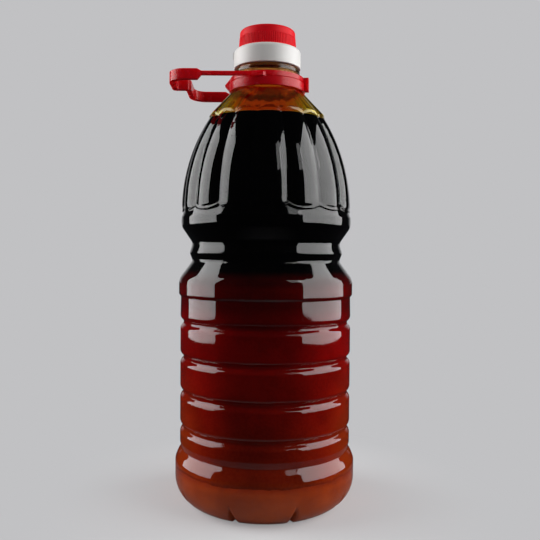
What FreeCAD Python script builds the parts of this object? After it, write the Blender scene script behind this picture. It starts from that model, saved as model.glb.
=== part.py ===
"""A two-litre clear plastic bottle of palm oil with its screw closure and carry handle.

The bottle is a thin blown shell: a base ring on nine feet, a barrel with four grooves,
a waist with a bead, a belt, a dome of sixteen pumpkin lobes and a cone up to the neck.
Its outside and the cavity inside it are the same form at two insets, so the wall, the
oil and the fat that has settled under the oil all follow from the same sizes.

Frame: millimetres, +Z up along the bottle's axis, origin at the middle of the plane that
the feet stand on. The front of the bottle faces -Y and the handle's loop points to -X.
"""
import FreeCAD, Part
import math
import os

import Sketcher

Vector = FreeCAD.Vector
Rotation = FreeCAD.Rotation
Placement = FreeCAD.Placement

# ------------------------------------------------------------------ driving dimensions
# name, value in mm (or degrees, or a plain count or share), what it is
DRIVING = [
    ("wall", 0.8, "thickness of the blown wall"),
    # base
    ("base_swell", 2.9, "how far the base ring swells out beyond the barrel"),
    ("base_height", 34.0, "height of the base ring"),
    ("base_round", 18.2, "rounding from the feet up to the widest radius"),
    ("base_shoulder", 5.0, "rounding at the top of the base ring"),
    ("base_slant", 6.0, "height of the slant from the base ring in to the barrel"),
    ("base_hollow", 1.0, "depth of the hollow between the base ring and the barrel"),
    ("base_hollow_height", 4.0, "height of that hollow"),
    ("base_hollow_edge", 0.6, "rounding in the bottom of that hollow"),
    ("foot_inset", 11.1, "from the widest radius in to the outer edge of the feet"),
    ("foot_width", 4.0, "width of the flat of the feet"),
    ("foot_slope", 0.471, "rise of the underside for each mm outwards from the feet"),
    ("foot_edge", 0.8, "rounding of the outer edge of the feet"),
    ("heel_width", 4.0, "width of the steep heel inside the feet"),
    ("heel_height", 2.0, "height of that heel"),
    ("heel_round", 3.0, "rounding of the heel's upper edge"),
    ("foot_round", 2.0, "rounding between the heel and the feet"),
    ("push_up", 9.0, "height of the hollow under the base"),
    ("push_up_radius", 16.0, "radius of the flat in the middle of that hollow"),
    ("push_up_round", 6.0, "rounding of that flat's edge"),
    ("notch_count", 9, "notches between the feet"),
    ("notch_first", -72.0, "direction of the first notch, degrees from +X"),
    ("notch_height", 9.6, "height at which a notch runs out on the base ring"),
    ("notch_depth", 4.0, "depth of a notch at the feet's outer edge"),
    ("notch_half_angle", 24.0, "half of a notch's V angle, degrees"),
    ("notch_run_out", 1.8, "from the widest radius in to the notch's upper end"),
    ("notch_length", 28.5, "length of a notch's ridge"),
    # barrel
    ("barrel_radius", 54.2, "radius of the barrel's bands"),
    ("groove_count", 4, "grooves round the barrel"),
    ("groove_start", 14.0, "from the base ring up to the lowest groove"),
    ("groove_pitch", 21.9, "distance from groove to groove"),
    ("groove_depth", 2.0, "depth of a groove"),
    ("groove_mouth", 3.0, "half width of a groove at the barrel"),
    ("groove_floor", 0.9, "half width of a groove's floor"),
    ("groove_lip", 3.2, "rounding of the lips of a groove"),
    ("groove_floor_round", 0.7, "rounding beside a groove's floor"),
    ("top_band", 15.9, "from the highest groove up to the barrel's top"),
    ("barrel_edge", 0.5, "rounding at the barrel's top"),
    # shoulder, waist and belt
    ("shoulder_swell", 1.0, "how far the ring above the barrel stands out beyond it"),
    ("shoulder_step", 1.6, "height of the step from the barrel out to that ring"),
    ("shoulder_edge", 1.4, "rounding of that step's upper edge"),
    ("shoulder_band", 11.3, "from the barrel's top up to the turn of that ring"),
    ("shoulder_round", 9.0, "rounding of that turn"),
    ("waist_depth", 7.4, "depth of the waist's two hollows below the barrel"),
    ("waist_fall", 11.3, "from the ring's turn up to the lower hollow"),
    ("bead_low", 5.0, "from the lower hollow up to the bead"),
    ("bead_high", 6.2, "from the bead up to the upper hollow"),
    ("bead_rise", 1.9, "how far the bead stands out of the waist"),
    ("bead_round", 2.4, "rounding of the bead and of the lower hollow"),
    ("waist_flare", 10.2, "from the upper hollow up to the belt"),
    ("waist_round", 4.5, "rounding of the upper hollow"),
    ("belt_round", 7.0, "rounding where the waist runs out into the belt"),
    ("belt_swell", 0.1, "how far the belt stands out beyond the start of the dome"),
    ("belt_band", 6.6, "height of the belt"),
    ("belt_edge", 1.2, "rounding of the belt's upper edge"),
    # dome
    ("lobe_foot", 3.8, "from the belt up to where the dome starts to curve in"),
    ("dome_inset", 0.4, "how much narrower the dome starts than the barrel"),
    ("dome_curve", 107.6, "radius of the dome's arc in side view"),
    ("dome_rise", 59.6, "height of that arc, up to the cone"),
    ("lobe_count", 16, "lobes round the dome"),
    ("lobe_first", -76.0, "direction of one valley, degrees from +X"),
    ("lobe_round", 0.333, "rounding of a lobe, as a share of the dome's radius there"),
    ("lobe_bed", 2.7, "depth of the bed that the lobes lie on"),
    ("lobe_curl", 6.0, "radius with which the foot of a lobe curls in"),
    ("lobe_tail", 3.0, "how far the lobes run on into the cone"),
    ("scallop_height", 7.0, "height of the scallops at the belt"),
    ("arch_height", 3.8, "height of the arches at the cone"),
    # cone and neck
    ("cone_rise", 17.7, "height of the cone between the dome and the neck"),
    ("cone_round", 2.0, "rounding where the dome meets the cone"),
    ("neck_radius", 20.3, "radius of the neck under the ledge"),
    ("neck_round", 3.0, "rounding where the cone meets the neck"),
    ("neck_band", 6.8, "height of the plain neck that carries the handle"),
    ("ledge_width", 1.6, "how far the ledge stands out of the neck"),
    ("ledge_thickness", 2.3, "thickness of the ledge"),
    ("ledge_draft", 1.2, "how much narrower the ledge is at its top"),
    ("throat_rise", 4.3, "from under the ledge up to the throat"),
    ("throat_slope", 0.4, "height of the slope in to the throat"),
    ("throat_step", 0.6, "how much narrower the throat is than the neck"),
    ("throat_band", 0.9, "height of the throat"),
    ("throat_lead", 1.2, "from under the ledge up to where the neck narrows inside"),
    ("throat_round", 0.9, "rounding where the neck narrows inside"),
    ("finish_step", 1.7, "from the throat in to the finish under the collar"),
    ("finish_length", 10.3, "length of the neck finish inside the collar"),
    ("neck_edge", 0.3, "rounding of the edges of the neck"),
    # contents
    ("oil_drop", 3.0, "how far the oil's level lies below the cone"),
    ("fat_depth", 24.0, "depth of the fat settled under the oil"),
    # closure
    ("collar_gap", 0.5, "gap between the neck's throat and the collar's lower edge"),
    ("collar_skirt", 2.9, "thickness of the collar's skirt"),
    ("collar_wall", 1.5, "thickness of the collar's deck and spout"),
    ("collar_round", 2.4, "rounding of the collar's shoulder"),
    ("collar_edge", 0.4, "rounding of the collar's other edges"),
    ("collar_bevel", 1.4, "bevel inside the skirt's lower edge"),
    ("seal_gap", 0.6, "gap between the bottle's mouth and the collar's deck"),
    ("tab_width", 1.6, "width of the small upright tab on the collar's side"),
    ("tab_rise", 0.6, "how far that tab stands out"),
    ("tab_height", 5.6, "height of that tab"),
    ("spout_height", 8.0, "how far the spout rises above the collar"),
    ("collar_step", 2.85, "how far the collar stands out beyond the cap"),
    ("cap_skirt", 4.45, "thickness of the cap's skirt"),
    ("cap_draft", 0.8, "how much narrower the cap is at its top"),
    ("cap_height", 12.0, "height of the screw cap"),
    ("cap_round", 1.8, "rounding of the cap's top edge"),
    ("cap_edge", 0.3, "rounding of the cap's lower edge"),
    ("cap_wall", 1.6, "thickness of the cap's top"),
    ("cap_inner_round", 1.0, "rounding inside the cap's top"),
    ("rib_count", 96, "ribs round the cap"),
    ("rib_depth", 0.32, "depth of the grooves between the ribs"),
    ("rib_share", 0.8, "width of a groove, as a share of the ribs' pitch"),
    ("rib_bottom", 0.7, "plain lip under the ribs"),
    ("rib_top", 7.0, "height of the ribs' upper end above the cap's lower edge"),
    ("rib_step", 0.15, "how far the ribs stand out beyond the plain band above them"),
    # carry handle
    ("ring_wall", 3.55, "thickness of the handle's ring"),
    ("ring_lip", 1.32, "thickness of the ring's lower edge, where it hangs over the cone"),
    ("ring_bevel_gap", 0.38, "gap between the ring's bevel and the cone, measured level"),
    ("ring_top_gap", 0.3, "gap between the ring and the ledge over it"),
    ("ring_lower_band", 5.3, "height of the ring's lower band"),
    ("ring_edge", 0.3, "rounding of the lower band's lower edge"),
    ("split_width", 1.0, "width of the groove between the ring's two bands"),
    ("split_floor", 0.4, "width of that groove's floor"),
    ("split_depth", 0.7, "depth of that groove"),
    ("upper_band_inset", 0.2, "how much narrower the upper band is"),
    ("upper_band_draft", 0.5, "how much narrower the upper band is at its top"),
    ("nose_rise", 2.7, "how far the ring's pointed nose stands out"),
    ("nose_length", 7.0, "length of the nose round the ring"),
    ("nose_direction", 180.0, "direction of the nose, degrees from +X"),
    ("block_rise", 2.5, "how far the ring's block stands out"),
    ("block_width", 4.6, "width of the block"),
    ("block_direction", -10.0, "direction of the block, degrees from +X"),
    ("arm_thickness", 2.0, "thickness of the thin arms, seen from above"),
    ("arm_height", 2.4, "height of the thin arms"),
    ("arm_lift", 0.7, "how far the thin arms lie above the loop's middle plane"),
    ("arm_root", 6.0, "how far a thin arm runs on inside its grip"),
    ("arm_slant", 2.4, "length of the slanted end of a thin arm on the ring"),
    ("grip_thickness", 3.2, "thickness of the grip, seen from above"),
    ("grip_height", 6.3, "height of the grip"),
    ("grip_taper", 2.5, "length over which a grip narrows to its thin arm"),
    ("loop_rise", 4.4, "from the ring's lower edge up to the loop's middle plane"),
    ("loop_tilt", 2.9, "droop of the loop towards the back, degrees"),
    ("loop_reach", 60.0, "how far the loop reaches to the left"),
    ("loop_round", 10.5, "rounding of the loop's corners"),
    ("loop_step_round", 3.0, "rounding of the step between the loop's two halves"),
    ("loop_edge", 1.0, "rounding inside that step"),
    ("finger_reach", 51.5, "reach of the loop's set-back rear half"),
    ("front_grip_start", 42.1, "where the front grip is full, left of the axis"),
    ("rear_grip_start", 28.0, "where the rear grip is full, left of the axis"),
    # clearances
    ("fit", 0.25, "gap between pieces that are pushed or snapped together"),
]
OVERLAP = 0.2  # how far an added or a cutting form reaches past the face that it meets
SEAT = 1.0  # how far a form that stands on another is rooted in it

# A corner of the outline moves by a share of the inset, so that the wall stays even.
FOOT_MITRE = 0.25  # outer corner of the feet, inwards
SIDE_MITRE = 0.5  # lower corner of the base ring, upwards
NOTCH_MITRE = 1.4  # ridge of a notch, upwards
CONE_MITRE = 0.4  # corners of the cone, downwards

BED_STEPS = 4  # straight runs in the bed under the lobes
LOBE_STEPS = 7  # sections between the start of the dome and its end
CURL_SHARES = (1.1, 0.85, 0.6, 0.35, 0.12, -0.25)  # sections in a lobe's foot, in curl radii


class Size:
    """A number together with the spreadsheet expression that it comes from."""

    def __init__(self, value, text):
        self.value = value
        self.text = text

    def join(self, other, sign, value):
        return Size(value, f"({self.text} {sign} {other.text})")

    def __add__(self, other):
        other = size_of(other)
        return self.join(other, "+", self.value + other.value)

    def __sub__(self, other):
        other = size_of(other)
        return self.join(other, "-", self.value - other.value)

    def __mul__(self, other):
        other = size_of(other)
        return self.join(other, "*", self.value * other.value)

    def __truediv__(self, other):
        other = size_of(other)
        return self.join(other, "/", self.value / other.value)

    def __neg__(self):
        return size_of(0) - self

    __radd__ = __add__
    __rmul__ = __mul__

    def __rsub__(self, other):
        return size_of(other) - self


def size_of(number):
    """Let a plain number stand beside a Size."""
    if isinstance(number, Size):
        return number
    return Size(float(number), f"{float(number):.6f}")


def root(size):
    return Size(math.sqrt(size.value), f"sqrt({size.text})")


doc = FreeCAD.newDocument("palm_oil_bottle")
sheet = doc.addObject("Spreadsheet::Sheet", "dimensions")
d = {}


def write_row(name, content, value, meaning):
    """Put one dimension into the sheet, under its name, and keep it as a Size."""
    row = len(d) + 1
    sheet.set(f"A{row}", meaning)
    sheet.set(f"B{row}", content)
    sheet.setAlias(f"B{row}", name)
    d[name] = Size(float(value), f"{sheet.Name}.{name}")


def follow(name, size, meaning):
    """Add a dimension that is worked out from others, as a formula in the sheet."""
    formula = size.text.replace(f"{sheet.Name}.", "")
    write_row(name, f"={formula}", size.value, meaning)


for driving_name, driving_value, driving_meaning in DRIVING:
    write_row(driving_name, str(driving_value), driving_value, driving_meaning)
count_of_lobes = int(d["lobe_count"].value)
count_of_grooves = int(d["groove_count"].value)


# ------------------------------------------------------------------ sizes that follow
def follow_body():
    """Radii from the barrel's, and levels stacked from the floor up to the cone."""
    barrel = d["barrel_radius"]
    follow("base_radius", barrel + d["base_swell"], "widest radius of the base ring")
    follow("foot_radius", d["base_radius"] - d["foot_inset"], "outer radius of the feet")
    follow("shoulder_radius", barrel + d["shoulder_swell"], "radius of the ring above the barrel")
    follow("waist_radius", barrel - d["waist_depth"], "radius of the waist's hollows")
    follow("dome_radius", barrel - d["dome_inset"], "radius where the dome starts")
    follow("belt_radius", d["dome_radius"] + d["belt_swell"], "radius of the belt")
    follow("groove_first", d["base_height"] + d["groove_start"], "level of the lowest groove")
    last = d["groove_first"] + d["groove_pitch"] * (d["groove_count"] - 1)
    follow("barrel_top", last + d["top_band"], "level of the barrel's top")
    follow("shoulder_turn", d["barrel_top"] + d["shoulder_band"], "level of the ring's turn")
    follow("waist_low", d["shoulder_turn"] + d["waist_fall"], "level of the lower hollow")
    follow("waist_bead", d["waist_low"] + d["bead_low"], "level of the bead")
    follow("waist_high", d["waist_bead"] + d["bead_high"], "level of the upper hollow")
    follow("belt_low", d["waist_high"] + d["waist_flare"], "level where the belt begins")
    follow("belt_high", d["belt_low"] + d["belt_band"], "level where the belt ends")
    follow("dome_start", d["belt_high"] + d["lobe_foot"], "level where the dome curves in")
    follow("dome_end", d["dome_start"] + d["dome_rise"], "level where the dome meets the cone")


def follow_neck():
    """The neck over the cone, the contents, and the closure that is seated on the neck."""
    follow("cone_top_radius", crest(d["dome_end"]), "radius where the dome meets the cone")
    follow("neck_start", d["dome_end"] + d["cone_rise"], "level where the cone meets the neck")
    follow("ledge_height", d["neck_start"] + d["neck_band"], "level under the neck's ledge")
    follow("ledge_radius", d["neck_radius"] + d["ledge_width"], "radius of the ledge")
    follow("throat_height", d["ledge_height"] + d["throat_rise"], "level of the throat")
    follow("throat_radius", d["neck_radius"] - d["throat_step"], "radius of the throat")
    follow("finish_height", d["throat_height"] + d["throat_band"], "level of the finish")
    follow("finish_radius", d["throat_radius"] - d["finish_step"], "radius of the finish")
    follow("mouth_height", d["finish_height"] + d["finish_length"], "level of the mouth")
    follow("oil_level", d["dome_end"] - d["oil_drop"], "level of the oil")
    follow("collar_bore", d["finish_radius"] + d["fit"], "radius inside the collar's skirt")
    follow("collar_radius", d["collar_bore"] + d["collar_skirt"], "radius of the collar")
    follow("collar_bottom", d["finish_height"] + d["collar_gap"], "level of its lower edge")
    follow("deck_bottom", d["mouth_height"] + d["seal_gap"], "level under the collar's deck")
    follow("collar_top", d["deck_bottom"] + d["collar_wall"], "level of the collar's top")
    follow("cap_radius", d["collar_radius"] - d["collar_step"], "radius of the cap's lower edge")
    follow("cap_bore", d["cap_radius"] - d["cap_skirt"], "radius inside the cap's skirt")
    follow("spout_radius", d["cap_bore"] - d["fit"], "radius of the pouring spout")


def follow_handle():
    """The ring between the cone and the ledge, and the loop that hangs on it."""
    follow("cone_slope", (d["cone_top_radius"] - d["neck_radius"]) / d["cone_rise"],
           "how far the cone spreads for each mm down")
    follow("ring_bore", d["neck_radius"] + d["fit"], "radius inside the ring")
    follow("ring_radius", d["ring_bore"] + d["ring_wall"], "radius of the ring")
    spread = d["ring_wall"] + d["fit"] - d["ring_bevel_gap"] - d["ring_lip"]
    follow("ring_drop", spread / d["cone_slope"], "how far the ring hangs over the cone")
    follow("ring_bottom", d["neck_start"] - d["ring_drop"], "level of the ring's lower edge")
    follow("ring_top", d["ledge_height"] - d["ring_top_gap"], "level of its upper edge")
    follow("ring_split", d["ring_bottom"] + d["ring_lower_band"], "level of its groove")
    follow("loop_level", d["ring_bottom"] + d["loop_rise"], "level of the loop's middle plane")


def crest(height):
    """Radius over the crests of the lobes at a height."""
    if height.value < d["dome_start"].value:
        drop = d["dome_start"] - height
        return d["dome_radius"] - drop * drop / (d["lobe_curl"] * 2)
    rise = height - d["dome_start"]
    middle = d["dome_radius"] - d["dome_curve"]
    return middle + root(d["dome_curve"] * d["dome_curve"] - rise * rise)


follow_body()
follow_neck()
follow_handle()
doc.recompute()


# ------------------------------------------------------------------ helpers
def new_body(name):
    body = doc.addObject("PartDesign::Body", name)
    body.Label = name
    return body


def origin_part(body, role):
    """One of the planes or axes of the body's own origin."""
    for feature in body.Origin.OriginFeatures:
        if feature.Role == role:
            return feature
    raise ValueError(role)


def corner_arc(before, corner, after, radius):
    """Start, middle and end of the arc that rounds a corner."""
    towards = (before - corner).normalize()
    away = (after - corner).normalize()
    half = towards.getAngle(away) / 2
    start = corner + towards * (radius / math.tan(half))
    end = corner + away * (radius / math.tan(half))
    inwards = (towards + away).normalize()
    middle = corner + inwards * (radius / math.sin(half) - radius)
    return start, middle, end


def upright_arc(start, middle, end, left_turn):
    """An arc whose own start is its right-hand start, whichever way the outline turns."""
    circle = Part.Circle(start, middle, end)
    centre = circle.Center
    first, last = (start, end) if left_turn else (end, start)
    angles = [math.atan2(spot.y - centre.y, spot.x - centre.x) for spot in (first, last)]
    if angles[1] < angles[0]:
        angles[1] += 2 * math.pi
    upright = Part.Circle(centre, Vector(0, 0, 1), circle.Radius)
    return Part.ArcOfCircle(upright, angles[0], angles[1])


def draw_outline(sketch, corners):
    """Draw a closed outline of straight runs with rounded corners, fully constrained.

    Each corner is (across, up, rounding), with a rounding of 0 for a sharp corner. A
    rounded corner keeps a construction point where its two straight runs would meet.
    """
    spots = [Vector(size_of(across).value, size_of(up).value, 0) for across, up, _ in corners]
    total = len(corners)
    starts = list(spots)
    ends = list(spots)
    middles = {}
    for i, (_, _, rounding) in enumerate(corners):
        radius = size_of(rounding).value
        if radius > 0:
            arc = corner_arc(spots[i - 1], spots[i], spots[(i + 1) % total], radius)
            starts[i], middles[i], ends[i] = arc
    runs = [Part.LineSegment(ends[i], starts[(i + 1) % total]) for i in range(total)]
    sketch.addGeometry(runs, False)
    arc_index = {}
    point_index = {}
    left_turns = {}
    for i, middle in middles.items():
        left_turns[i] = (spots[i] - spots[i - 1]).cross(middle - spots[i]).z > 0
        arc_index[i] = sketch.addGeometry(upright_arc(starts[i], middle, ends[i], left_turns[i]))
        point_index[i] = sketch.addGeometry(Part.Point(spots[i]), True)

    rules = []
    bindings = []

    def bind(rule, size):
        size = size_of(size)
        rules.append(rule)
        bindings.append((len(rules) - 1, size.text))

    for i, (across, up, rounding) in enumerate(corners):
        run_in = (i - 1) % total
        if i in middles:
            arc = arc_index[i]
            point = point_index[i]
            first = 1 if left_turns[i] else 2
            rules.append(Sketcher.Constraint("Tangent", run_in, 2, arc, first))
            rules.append(Sketcher.Constraint("Tangent", arc, 3 - first, i, 1))
            rules.append(Sketcher.Constraint("PointOnObject", point, 1, run_in))
            rules.append(Sketcher.Constraint("PointOnObject", point, 1, i))
            bind(Sketcher.Constraint("Radius", arc, size_of(rounding).value), rounding)
        else:
            point = i
            rules.append(Sketcher.Constraint("Coincident", run_in, 2, i, 1))
        bind(Sketcher.Constraint("DistanceX", -1, 1, point, 1, spots[i].x), across)
        bind(Sketcher.Constraint("DistanceY", -1, 1, point, 1, spots[i].y), up)
    sketch.addConstraint(rules)
    for index, text in bindings:
        sketch.setExpression(f"Constraints[{index}]", text)


def revolve(body, name, corners):
    """Turn an outline, drawn as (radius, height, rounding), about the body's axis."""
    sketch = body.newObject("Sketcher::SketchObject", f"{name}_outline")
    sketch.AttachmentSupport = (origin_part(body, "XZ_Plane"), [""])
    sketch.MapMode = "FlatFace"
    draw_outline(sketch, corners)
    feature = body.newObject("PartDesign::Revolution", name)
    feature.Profile = sketch
    feature.ReferenceAxis = (sketch, ["V_Axis"])
    feature.Angle = 360
    feature.Refine = False
    return feature


def pattern_round(body, name, feature, count):
    """Repeat a feature evenly round the body's axis."""
    pattern = body.newObject("PartDesign::PolarPattern", name)
    pattern.Originals = [feature]
    pattern.Axis = (origin_part(body, "Z_Axis"), [""])
    pattern.Angle = 360
    pattern.setExpression("Occurrences", count.text)
    body.Tip = pattern
    return pattern


def wedge(body, name, kind, place, foot, top, rise):
    """Add or cut a tapered block that rises along its own Y.

    Its foot and its top are each (low X, high X, low Z, high Z).
    """
    block = body.newObject(f"PartDesign::{kind}Wedge", name)
    block.Placement = place
    sizes = dict(zip(("Xmin", "Xmax", "Zmin", "Zmax"), foot))
    sizes.update(zip(("X2min", "X2max", "Z2min", "Z2max"), top))
    sizes.update({"Ymin": 0, "Ymax": rise})
    for side, size in sizes.items():
        size = size_of(size)
        setattr(block, side, size.value)
        block.setExpression(side, size.text)
    return block


# ------------------------------------------------------------------ bottle and cavity
def groove_corners(level, inset):
    """The four corners of one groove round the barrel, from below."""
    land = d["barrel_radius"] - inset
    floor = land - d["groove_depth"]
    return [
        (land, level - d["groove_mouth"], d["groove_lip"]),
        (floor, level - d["groove_floor"], d["groove_floor_round"]),
        (floor, level + d["groove_floor"], d["groove_floor_round"]),
        (land, level + d["groove_mouth"], d["groove_lip"]),
    ]


def base_corners(inset):
    """The outline from the axis under the base to the top of the base ring."""
    flat = d["foot_radius"] - d["foot_width"]
    side = d["base_radius"] - inset
    corner_rise = (d["base_radius"] - d["foot_radius"]) * d["foot_slope"]
    hollow = d["barrel_radius"] - d["base_hollow"] - inset
    slant_low = d["base_height"] - d["base_slant"]
    hollow_top = d["base_height"] + d["base_hollow_height"]
    return [
        (0, d["push_up"] + inset, 0),
        (d["push_up_radius"], d["push_up"] + inset, d["push_up_round"]),
        (flat - d["heel_width"], d["heel_height"] + inset, d["heel_round"]),
        (flat, inset, d["foot_round"]),
        (d["foot_radius"] - inset * FOOT_MITRE, inset, d["foot_edge"]),
        (side, corner_rise + inset * SIDE_MITRE, d["base_round"] - inset),
        (side, slant_low, d["base_shoulder"]),
        (hollow, d["base_height"], d["base_hollow_edge"]),
        (d["barrel_radius"] - inset, hollow_top, d["base_hollow_height"]),
    ]


def waist_corners(inset):
    """The outline over the barrel's top edge, the shoulder ring and the waist."""
    barrel = d["barrel_radius"] - inset
    shoulder = d["shoulder_radius"] - inset
    waist = d["waist_radius"] - inset
    return [
        (barrel, d["barrel_top"], d["barrel_edge"]),
        (shoulder, d["barrel_top"] + d["shoulder_step"], d["shoulder_edge"]),
        (shoulder, d["shoulder_turn"], d["shoulder_round"]),
        (waist, d["waist_low"], d["bead_round"]),
        (waist + d["bead_rise"], d["waist_bead"], d["bead_round"]),
        (waist, d["waist_high"], d["waist_round"]),
        (d["belt_radius"] - inset, d["belt_low"], d["belt_round"]),
    ]


def dome_corners(inset):
    """The belt's top edge and the bed of the lobes, up to the arches at the cone."""
    bed_low = d["belt_high"] + d["scallop_height"]
    bed_high = d["dome_end"] - d["arch_height"]
    corners = [(d["belt_radius"] - inset, d["belt_high"], d["belt_edge"])]
    for i in range(BED_STEPS + 1):
        height = bed_low + (bed_high - bed_low) * i / BED_STEPS
        corners.append((crest(height) - d["lobe_bed"] - inset, height, 0))
    return corners


def neck_outside():
    """The outline over the cone and up the neck to the mouth, ending on the axis."""
    edge = d["neck_edge"]
    ledge_top = d["ledge_radius"] - d["ledge_draft"]
    return [
        (d["cone_top_radius"], d["dome_end"], d["cone_round"]),
        (d["neck_radius"], d["neck_start"], d["neck_round"]),
        (d["neck_radius"], d["ledge_height"], edge),
        (d["ledge_radius"], d["ledge_height"], edge),
        (ledge_top, d["ledge_height"] + d["ledge_thickness"], edge),
        (ledge_top, d["throat_height"] - d["throat_slope"], edge),
        (d["throat_radius"], d["throat_height"], edge),
        (d["throat_radius"], d["finish_height"], edge),
        (d["finish_radius"], d["finish_height"], edge),
        (d["finish_radius"], d["mouth_height"], edge),
        (0, d["mouth_height"], 0),
    ]


def neck_inside():
    """The same outline inside the wall, run on through the mouth so that it is open."""
    wall = d["wall"]
    neck = d["neck_radius"] - wall
    bore = d["finish_radius"] - wall * 2
    above = d["mouth_height"] + SEAT
    drop = wall * CONE_MITRE
    return [
        (d["cone_top_radius"] - wall, d["dome_end"] - drop, d["cone_round"]),
        (neck, d["neck_start"] - drop, d["neck_round"]),
        (neck, d["ledge_height"] + d["throat_lead"], d["throat_round"]),
        (bore, d["throat_height"] - d["throat_slope"], d["throat_round"]),
        (bore, above, 0),
        (0, above, 0),
    ]


def lobe_heights():
    """Levels of the lobed sections: close where the lobes' feet curl in, wide above."""
    start = d["dome_start"]
    levels = [start - d["lobe_curl"] * share for share in CURL_SHARES]
    step = (d["dome_end"] + d["lobe_tail"] - start) / LOBE_STEPS
    levels += [start + step * i for i in range(1, LOBE_STEPS + 1)]
    return levels


def notch_solids(inset):
    """V notches whose ridges fall from the side of the base ring towards the axis."""
    side = (d["base_radius"] - d["notch_run_out"]).value
    run = side - d["foot_radius"].value
    fall = math.atan2((d["notch_height"] - d["notch_depth"]).value, run)
    along = Vector(math.cos(fall), 0, math.sin(fall))
    upwards = Vector(-math.sin(fall), 0, math.cos(fall))
    reach = d["notch_depth"].value
    depth = d["notch_height"].value + reach
    half_width = depth * math.tan(math.radians(d["notch_half_angle"].value)) + inset.value
    ridge_end = Vector(side, 0, d["notch_height"].value + inset.value * NOTCH_MITRE) + along * reach
    ridge_start = ridge_end - along * d["notch_length"].value
    foot = ridge_start - upwards * depth
    across = Vector(0, half_width, 0)
    triangle = Part.Face(Part.makePolygon([ridge_start, foot + across, foot - across, ridge_start]))
    notch = triangle.extrude(ridge_end - ridge_start)
    count = int(d["notch_count"].value)
    first = d["notch_first"].value
    solids = []
    for i in range(count):
        turned = notch.copy()
        turned.rotate(Vector(), Vector(0, 0, 1), first + 360 / count * i)
        solids.append(turned)
    return solids


def outline_face(corners):
    """A flat face in the XZ plane from (radius, height, rounding) corners."""
    spots = [Vector(size_of(across).value, 0, size_of(up).value) for across, up, _ in corners]
    total = len(spots)
    starts = list(spots)
    ends = list(spots)
    arcs = {}
    for i, (_, _, rounding) in enumerate(corners):
        radius = size_of(rounding).value
        if radius > 0:
            starts[i], middle, ends[i] = corner_arc(
                spots[i - 1], spots[i], spots[(i + 1) % total], radius)
            arcs[i] = Part.Arc(starts[i], middle, ends[i]).toShape()
    edges = []
    for i in range(total):
        if i in arcs:
            edges.append(arcs[i])
        edges.append(Part.LineSegment(ends[i], starts[(i + 1) % total]).toShape())
    return Part.Face(Part.Wire(edges))


def lobed_wire(height, inset):
    """One level section through the dome: equal arcs, end to end, round the axis."""
    radius = (crest(height) - inset).value
    arc_radius = radius * d["lobe_round"].value
    centre_radius = radius - arc_radius
    pitch = 2 * math.pi / count_of_lobes
    half_chord = centre_radius * math.sin(pitch / 2)
    valley = centre_radius * math.cos(pitch / 2) + math.sqrt(arc_radius ** 2 - half_chord ** 2)
    first = math.radians(d["lobe_first"].value)
    arcs = []
    for i in range(count_of_lobes):
        points = []
        for share, reach in ((0, valley), (0.5, radius), (1, valley)):
            angle = first + pitch * (i + share)
            points.append(Vector(reach * math.cos(angle), reach * math.sin(angle), height.value))
        arcs.append(Part.Arc(*points).toShape())
    return Part.Wire(arcs)


def bottle_form(name, inset, neck):
    """The whole form of the bottle, drawn in by an inset: 0 outside, the wall inside."""
    corners = base_corners(inset)
    for i in range(count_of_grooves):
        corners += groove_corners(d["groove_first"] + d["groove_pitch"] * i, inset)
    corners += waist_corners(inset) + dome_corners(inset) + neck
    turned = outline_face(corners).revolve(Vector(), Vector(0, 0, 1), 360)
    lobes = Part.makeLoft([lobed_wire(level, inset) for level in lobe_heights()], True)
    notches = Part.makeCompound(notch_solids(inset))
    piece = doc.addObject("Part::Feature", name)
    piece.Label = name
    piece.Shape = turned.fuse(lobes).cut(notches)
    return piece


# ------------------------------------------------------------------ bottle and contents
def boolean(kind, name, base, tool):
    piece = doc.addObject(f"Part::{kind}", name)
    piece.Label = name
    piece.Base = base
    piece.Tool = tool
    return piece


def slab(name, low, high):
    """A round slab wider than the bottle, to take one layer out of the cavity."""
    piece = doc.addObject("Part::Cylinder", name)
    piece.setExpression("Radius", (d["base_radius"] + SEAT).text)
    piece.setExpression("Height", (high - low).text)
    piece.setExpression("Placement.Base.z", low.text)
    return piece


def contents():
    """The clear bottle, and the oil and the fat that fill its cavity up to their levels."""
    outside = bottle_form("outside", size_of(0), neck_outside())
    cavity = bottle_form("cavity", d["wall"], neck_inside())
    bottle = boolean("Cut", "bottle", outside, cavity)
    oil_slab = slab("oil_slab", d["fat_depth"], d["oil_level"])
    fat_slab = slab("fat_slab", size_of(0), d["fat_depth"])
    oil = boolean("Common", "oil", cavity, oil_slab)
    fat = boolean("Common", "settled_fat", cavity, fat_slab)
    return [bottle, oil, fat]


# ------------------------------------------------------------------ closure
def turned_place(direction, reach, level, roll):
    """A place on a circle round the axis: its own Y points outwards there.

    With a roll of 0 its own Z points up, and with 90 it lies along the circle.
    """
    round_axis = Rotation(Vector(0, 0, 1), direction.value - 90)
    spot = round_axis.multVec(Vector(0, reach.value, level.value))
    return Placement(spot, round_axis * Rotation(Vector(0, 1, 0), roll))


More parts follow.
